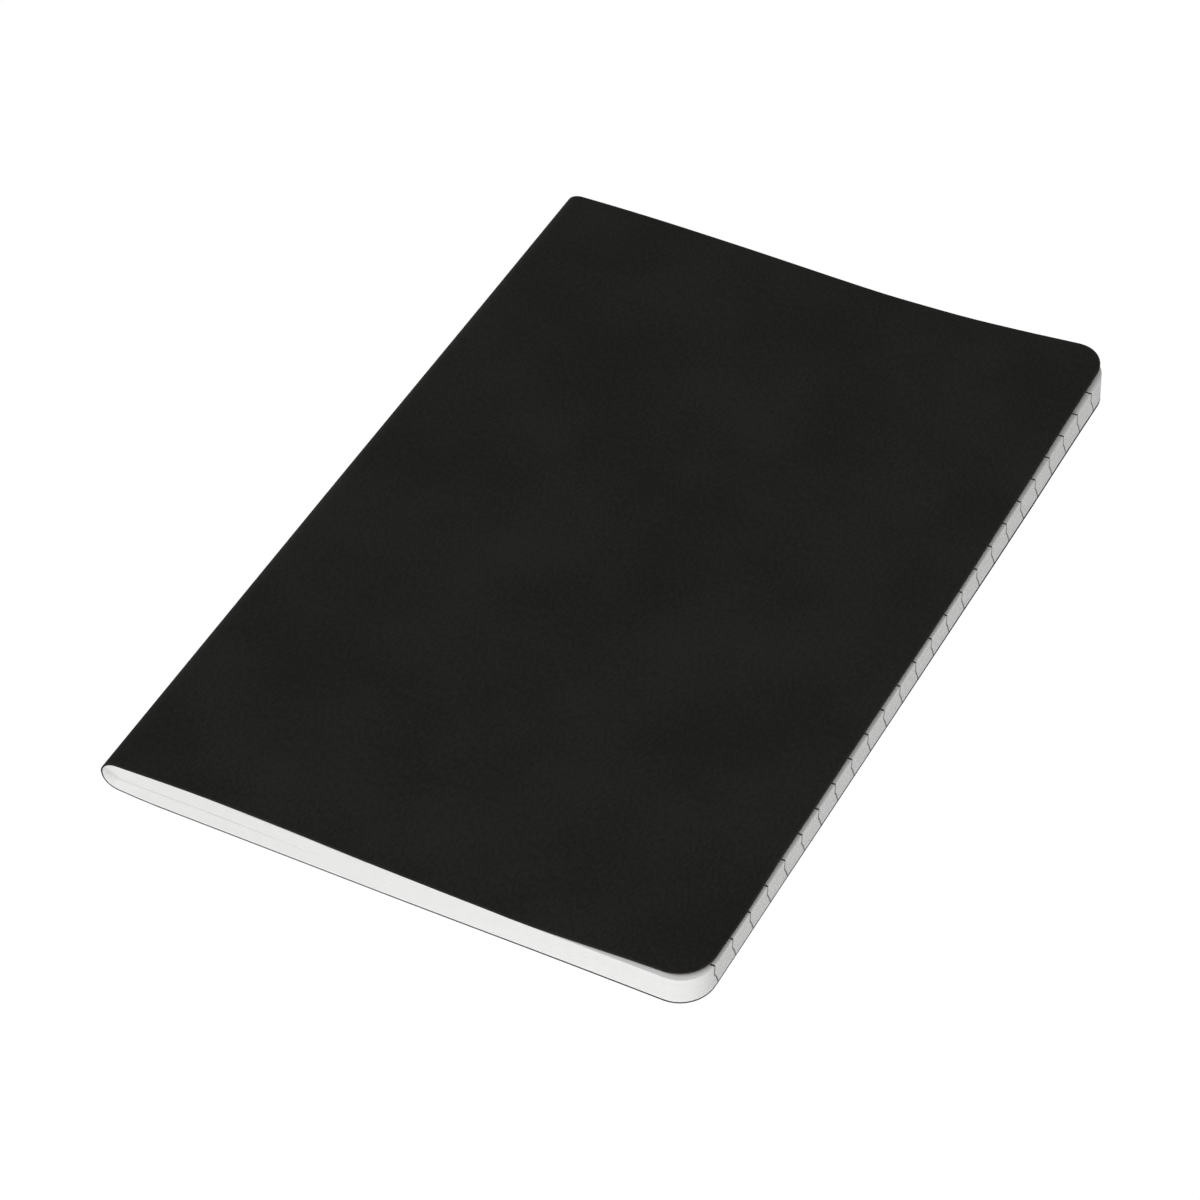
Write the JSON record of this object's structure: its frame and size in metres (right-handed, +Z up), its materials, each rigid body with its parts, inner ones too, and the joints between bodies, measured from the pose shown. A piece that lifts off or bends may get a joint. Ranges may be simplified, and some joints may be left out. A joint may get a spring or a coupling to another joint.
{
  "type": "softcover notebook",
  "caption": "A5 exercise notebook with a black card cover, rounded fore-edge corners and one thick stapled section of ruled sheets that opens at its centre fold.",
  "frame": {"origin": "middle of the underside of the closed notebook's box", "axes": "+X from the spine to the fore-edge, +Y from the tail to the head, +Z up through the front cover"},
  "size_m": [0.1484, 0.21, 0.0107],
  "materials": {
    "cover_card": "matte black, uncoated",
    "ruled_paper": "matte, white",
    "staple_wire": "bright drawn wire"
  },
  "bodies": {
    "back_half": {"back_cover": "cover_card", "sheet_01_lower_leaf": "ruled_paper"},
    "spine": {"cover_spine": "cover_card", "sheet_01_fold": "ruled_paper", "sheet_02_fold": "ruled_paper", "sheet_03_fold": "ruled_paper", "sheet_04_fold": "ruled_paper", "sheets_05_to_08_fold": "ruled_paper", "sheets_09_to_12_fold": "ruled_paper", "sheets_13_to_16_fold": "ruled_paper", "sheets_17_to_20_fold": "ruled_paper", "sheets_21_to_24_fold": "ruled_paper", "sheets_25_to_28_fold": "ruled_paper", "sheets_29_to_32_fold": "ruled_paper", "sheets_33_to_36_fold": "ruled_paper", "sheet_37_fold": "ruled_paper", "sheet_38_fold": "ruled_paper", "sheet_39_fold": "ruled_paper", "sheet_40_fold": "ruled_paper"},
    "staples": {"staple_tail": "staple_wire", "staple_head": "staple_wire"},
    "sheet_01_upper": {"sheet_01_upper_leaf": "ruled_paper"},
    "sheet_02_lower": {"sheet_02_lower_leaf": "ruled_paper"},
    "sheet_02_upper": {"sheet_02_upper_leaf": "ruled_paper"},
    "sheet_03_lower": {"sheet_03_lower_leaf": "ruled_paper"},
    "sheet_03_upper": {"sheet_03_upper_leaf": "ruled_paper"},
    "sheet_04_lower": {"sheet_04_lower_leaf": "ruled_paper"},
    "sheet_04_upper": {"sheet_04_upper_leaf": "ruled_paper"},
    "sheets_05_to_08_lower": {"sheets_05_to_08_lower_leaf": "ruled_paper"},
    "sheets_05_to_08_upper": {"sheets_05_to_08_upper_leaf": "ruled_paper"},
    "sheets_09_to_12_lower": {"sheets_09_to_12_lower_leaf": "ruled_paper"},
    "sheets_09_to_12_upper": {"sheets_09_to_12_upper_leaf": "ruled_paper"},
    "sheets_13_to_16_lower": {"sheets_13_to_16_lower_leaf": "ruled_paper"},
    "sheets_13_to_16_upper": {"sheets_13_to_16_upper_leaf": "ruled_paper"},
    "sheets_17_to_20_lower": {"sheets_17_to_20_lower_leaf": "ruled_paper"},
    "sheets_17_to_20_upper": {"sheets_17_to_20_upper_leaf": "ruled_paper"},
    "sheets_21_to_24_lower": {"sheets_21_to_24_lower_leaf": "ruled_paper"},
    "sheets_21_to_24_upper": {"sheets_21_to_24_upper_leaf": "ruled_paper"},
    "sheets_25_to_28_lower": {"sheets_25_to_28_lower_leaf": "ruled_paper"},
    "sheets_25_to_28_upper": {"sheets_25_to_28_upper_leaf": "ruled_paper"},
    "sheets_29_to_32_lower": {"sheets_29_to_32_lower_leaf": "ruled_paper"},
    "sheets_29_to_32_upper": {"sheets_29_to_32_upper_leaf": "ruled_paper"},
    "sheets_33_to_36_lower": {"sheets_33_to_36_lower_leaf": "ruled_paper"},
    "sheets_33_to_36_upper": {"sheets_33_to_36_upper_leaf": "ruled_paper"},
    "sheet_37_lower": {"sheet_37_lower_leaf": "ruled_paper"},
    "sheet_37_upper": {"sheet_37_upper_leaf": "ruled_paper"},
    "sheet_38_lower": {"sheet_38_lower_leaf": "ruled_paper"},
    "sheet_38_upper": {"sheet_38_upper_leaf": "ruled_paper"},
    "sheet_39_lower": {"sheet_39_lower_leaf": "ruled_paper"},
    "sheet_39_upper": {"sheet_39_upper_leaf": "ruled_paper"},
    "sheet_40_lower": {"sheet_40_lower_leaf": "ruled_paper"},
    "sheet_40_upper": {"sheet_40_upper_leaf": "ruled_paper"},
    "front_cover": {"front_cover": "cover_card"}
  },
  "joints": [
    {"name": "opening", "type": "hinge", "parent": "back_half", "child": "sheet_01_upper", "pos_m": [-0.06885, 0, 0.0049], "axis": [0, -1, 0], "range_deg": [0, 180]},
    {"name": "spine_turn", "type": "hinge", "parent": "back_half", "child": "spine", "pos_m": [-0.06885, 0, 0.0049], "axis": [0, -1, 0], "range_deg": [0, 90], "deforming": ["cover_spine", "sheet_01_fold", "sheet_02_fold", "sheet_03_fold", "sheet_04_fold", "sheets_05_to_08_fold", "sheets_09_to_12_fold", "sheets_13_to_16_fold", "sheets_17_to_20_fold", "sheets_21_to_24_fold", "sheets_25_to_28_fold", "sheets_29_to_32_fold", "sheets_33_to_36_fold", "sheet_37_fold", "sheet_38_fold", "sheet_39_fold", "sheet_40_fold"]},
    {"name": "staple_turn", "type": "hinge", "parent": "sheet_01_upper", "child": "staples", "pos_m": [-0.06885, 0, 0.0049], "axis": [0, -1, 0], "range_deg": [-90, 0]},
    {"name": "sheet_02_lower_turn", "type": "hinge", "parent": "back_half", "child": "sheet_02_lower", "pos_m": [-0.06885, 0, 0.0049], "axis": [0, -1, 0], "range_deg": [0, 0.145]},
    {"name": "sheet_02_upper_turn", "type": "hinge", "parent": "sheet_01_upper", "child": "sheet_02_upper", "pos_m": [-0.06885, 0, 0.0049], "axis": [0, -1, 0], "range_deg": [-0.145, 0]},
    {"name": "sheet_03_lower_turn", "type": "hinge", "parent": "back_half", "child": "sheet_03_lower", "pos_m": [-0.06885, 0, 0.0049], "axis": [0, -1, 0], "range_deg": [0, 0.318]},
    {"name": "sheet_03_upper_turn", "type": "hinge", "parent": "sheet_01_upper", "child": "sheet_03_upper", "pos_m": [-0.06885, 0, 0.0049], "axis": [0, -1, 0], "range_deg": [-0.318, 0]},
    {"name": "sheet_04_lower_turn", "type": "hinge", "parent": "back_half", "child": "sheet_04_lower", "pos_m": [-0.06885, 0, 0.0049], "axis": [0, -1, 0], "range_deg": [0, 0.512]},
    {"name": "sheet_04_upper_turn", "type": "hinge", "parent": "sheet_01_upper", "child": "sheet_04_upper", "pos_m": [-0.06885, 0, 0.0049], "axis": [0, -1, 0], "range_deg": [-0.512, 0]},
    {"name": "sheets_05_to_08_lower_turn", "type": "hinge", "parent": "back_half", "child": "sheets_05_to_08_lower", "pos_m": [-0.06885, 0, 0.0049], "axis": [0, -1, 0], "range_deg": [0, 1.05]},
    {"name": "sheets_05_to_08_upper_turn", "type": "hinge", "parent": "sheet_01_upper", "child": "sheets_05_to_08_upper", "pos_m": [-0.06885, 0, 0.0049], "axis": [0, -1, 0], "range_deg": [-1.05, 0]},
    {"name": "sheets_09_to_12_lower_turn", "type": "hinge", "parent": "back_half", "child": "sheets_09_to_12_lower", "pos_m": [-0.06885, 0, 0.0049], "axis": [0, -1, 0], "range_deg": [0, 2.01]},
    {"name": "sheets_09_to_12_upper_turn", "type": "hinge", "parent": "sheet_01_upper", "child": "sheets_09_to_12_upper", "pos_m": [-0.06885, 0, 0.0049], "axis": [0, -1, 0], "range_deg": [-2.01, 0]},
    {"name": "sheets_13_to_16_lower_turn", "type": "hinge", "parent": "back_half", "child": "sheets_13_to_16_lower", "pos_m": [-0.06885, 0, 0.0049], "axis": [0, -1, 0], "range_deg": [0, 3.06]},
    {"name": "sheets_13_to_16_upper_turn", "type": "hinge", "parent": "sheet_01_upper", "child": "sheets_13_to_16_upper", "pos_m": [-0.06885, 0, 0.0049], "axis": [0, -1, 0], "range_deg": [-3.06, 0]},
    {"name": "sheets_17_to_20_lower_turn", "type": "hinge", "parent": "back_half", "child": "sheets_17_to_20_lower", "pos_m": [-0.06885, 0, 0.0049], "axis": [0, -1, 0], "range_deg": [0, 4.17]},
    {"name": "sheets_17_to_20_upper_turn", "type": "hinge", "parent": "sheet_01_upper", "child": "sheets_17_to_20_upper", "pos_m": [-0.06885, 0, 0.0049], "axis": [0, -1, 0], "range_deg": [-4.17, 0]},
    {"name": "sheets_21_to_24_lower_turn", "type": "hinge", "parent": "back_half", "child": "sheets_21_to_24_lower", "pos_m": [-0.06885, 0, 0.0049], "axis": [0, -1, 0], "range_deg": [0, 5.34]},
    {"name": "sheets_21_to_24_upper_turn", "type": "hinge", "parent": "sheet_01_upper", "child": "sheets_21_to_24_upper", "pos_m": [-0.06885, 0, 0.0049], "axis": [0, -1, 0], "range_deg": [-5.34, 0]},
    {"name": "sheets_25_to_28_lower_turn", "type": "hinge", "parent": "back_half", "child": "sheets_25_to_28_lower", "pos_m": [-0.06885, 0, 0.0049], "axis": [0, -1, 0], "range_deg": [0, 6.55]},
    {"name": "sheets_25_to_28_upper_turn", "type": "hinge", "parent": "sheet_01_upper", "child": "sheets_25_to_28_upper", "pos_m": [-0.06885, 0, 0.0049], "axis": [0, -1, 0], "range_deg": [-6.55, 0]},
    {"name": "sheets_29_to_32_lower_turn", "type": "hinge", "parent": "back_half", "child": "sheets_29_to_32_lower", "pos_m": [-0.06885, 0, 0.0049], "axis": [0, -1, 0], "range_deg": [0, 7.8]},
    {"name": "sheets_29_to_32_upper_turn", "type": "hinge", "parent": "sheet_01_upper", "child": "sheets_29_to_32_upper", "pos_m": [-0.06885, 0, 0.0049], "axis": [0, -1, 0], "range_deg": [-7.8, 0]},
    {"name": "sheets_33_to_36_lower_turn", "type": "hinge", "parent": "back_half", "child": "sheets_33_to_36_lower", "pos_m": [-0.06885, 0, 0.0049], "axis": [0, -1, 0], "range_deg": [0, 9.09]},
    {"name": "sheets_33_to_36_upper_turn", "type": "hinge", "parent": "sheet_01_upper", "child": "sheets_33_to_36_upper", "pos_m": [-0.06885, 0, 0.0049], "axis": [0, -1, 0], "range_deg": [-9.09, 0]},
    {"name": "sheet_37_lower_turn", "type": "hinge", "parent": "back_half", "child": "sheet_37_lower", "pos_m": [-0.06885, 0, 0.0049], "axis": [0, -1, 0], "range_deg": [0, 9.9]},
    {"name": "sheet_37_upper_turn", "type": "hinge", "parent": "sheet_01_upper", "child": "sheet_37_upper", "pos_m": [-0.06885, 0, 0.0049], "axis": [0, -1, 0], "range_deg": [-9.9, 0]},
    {"name": "sheet_38_lower_turn", "type": "hinge", "parent": "back_half", "child": "sheet_38_lower", "pos_m": [-0.06885, 0, 0.0049], "axis": [0, -1, 0], "range_deg": [0, 10.23]},
    {"name": "sheet_38_upper_turn", "type": "hinge", "parent": "sheet_01_upper", "child": "sheet_38_upper", "pos_m": [-0.06885, 0, 0.0049], "axis": [0, -1, 0], "range_deg": [-10.23, 0]},
    {"name": "sheet_39_lower_turn", "type": "hinge", "parent": "back_half", "child": "sheet_39_lower", "pos_m": [-0.06885, 0, 0.0049], "axis": [0, -1, 0], "range_deg": [0, 10.57]},
    {"name": "sheet_39_upper_turn", "type": "hinge", "parent": "sheet_01_upper", "child": "sheet_39_upper", "pos_m": [-0.06885, 0, 0.0049], "axis": [0, -1, 0], "range_deg": [-10.57, 0]},
    {"name": "sheet_40_lower_turn", "type": "hinge", "parent": "back_half", "child": "sheet_40_lower", "pos_m": [-0.06885, 0, 0.0049], "axis": [0, -1, 0], "range_deg": [0, 10.9]},
    {"name": "sheet_40_upper_turn", "type": "hinge", "parent": "sheet_01_upper", "child": "sheet_40_upper", "pos_m": [-0.06885, 0, 0.0049], "axis": [0, -1, 0], "range_deg": [-10.9, 0]},
    {"name": "front_cover_hinge", "type": "hinge", "parent": "sheet_01_upper", "child": "front_cover", "pos_m": [-0.06885, 0, 0.00984], "axis": [0, -1, 0], "range_deg": [0, 179.3]}
  ],
  "couplings": [
    {"joint": "spine_turn", "follows": "opening", "ratio": 0.5},
    {"joint": "staple_turn", "follows": "opening", "ratio": -0.5},
    {"joint": "sheet_02_lower_turn", "follows": "opening", "ratio": 0.00075},
    {"joint": "sheet_02_upper_turn", "follows": "opening", "ratio": -0.00075},
    {"joint": "sheet_03_lower_turn", "follows": "opening", "ratio": 0.00171},
    {"joint": "sheet_03_upper_turn", "follows": "opening", "ratio": -0.00171},
    {"joint": "sheet_04_lower_turn", "follows": "opening", "ratio": 0.00279},
    {"joint": "sheet_04_upper_turn", "follows": "opening", "ratio": -0.00279},
    {"joint": "sheets_05_to_08_lower_turn", "follows": "opening", "ratio": 0.00577},
    {"joint": "sheets_05_to_08_upper_turn", "follows": "opening", "ratio": -0.00577},
    {"joint": "sheets_09_to_12_lower_turn", "follows": "opening", "ratio": 0.01111},
    {"joint": "sheets_09_to_12_upper_turn", "follows": "opening", "ratio": -0.01111},
    {"joint": "sheets_13_to_16_lower_turn", "follows": "opening", "ratio": 0.01694},
    {"joint": "sheets_13_to_16_upper_turn", "follows": "opening", "ratio": -0.01694},
    {"joint": "sheets_17_to_20_lower_turn", "follows": "opening", "ratio": 0.02313},
    {"joint": "sheets_17_to_20_upper_turn", "follows": "opening", "ratio": -0.02313},
    {"joint": "sheets_21_to_24_lower_turn", "follows": "opening", "ratio": 0.02961},
    {"joint": "sheets_21_to_24_upper_turn", "follows": "opening", "ratio": -0.02961},
    {"joint": "sheets_25_to_28_lower_turn", "follows": "opening", "ratio": 0.03634},
    {"joint": "sheets_25_to_28_upper_turn", "follows": "opening", "ratio": -0.03634},
    {"joint": "sheets_29_to_32_lower_turn", "follows": "opening", "ratio": 0.04328},
    {"joint": "sheets_29_to_32_upper_turn", "follows": "opening", "ratio": -0.04328},
    {"joint": "sheets_33_to_36_lower_turn", "follows": "opening", "ratio": 0.05042},
    {"joint": "sheets_33_to_36_upper_turn", "follows": "opening", "ratio": -0.05042},
    {"joint": "sheet_37_lower_turn", "follows": "opening", "ratio": 0.05496},
    {"joint": "sheet_37_upper_turn", "follows": "opening", "ratio": -0.05496},
    {"joint": "sheet_38_lower_turn", "follows": "opening", "ratio": 0.0568},
    {"joint": "sheet_38_upper_turn", "follows": "opening", "ratio": -0.0568},
    {"joint": "sheet_39_lower_turn", "follows": "opening", "ratio": 0.05865},
    {"joint": "sheet_39_upper_turn", "follows": "opening", "ratio": -0.05865},
    {"joint": "sheet_40_lower_turn", "follows": "opening", "ratio": 0.0605},
    {"joint": "sheet_40_upper_turn", "follows": "opening", "ratio": -0.0605}
  ]
}
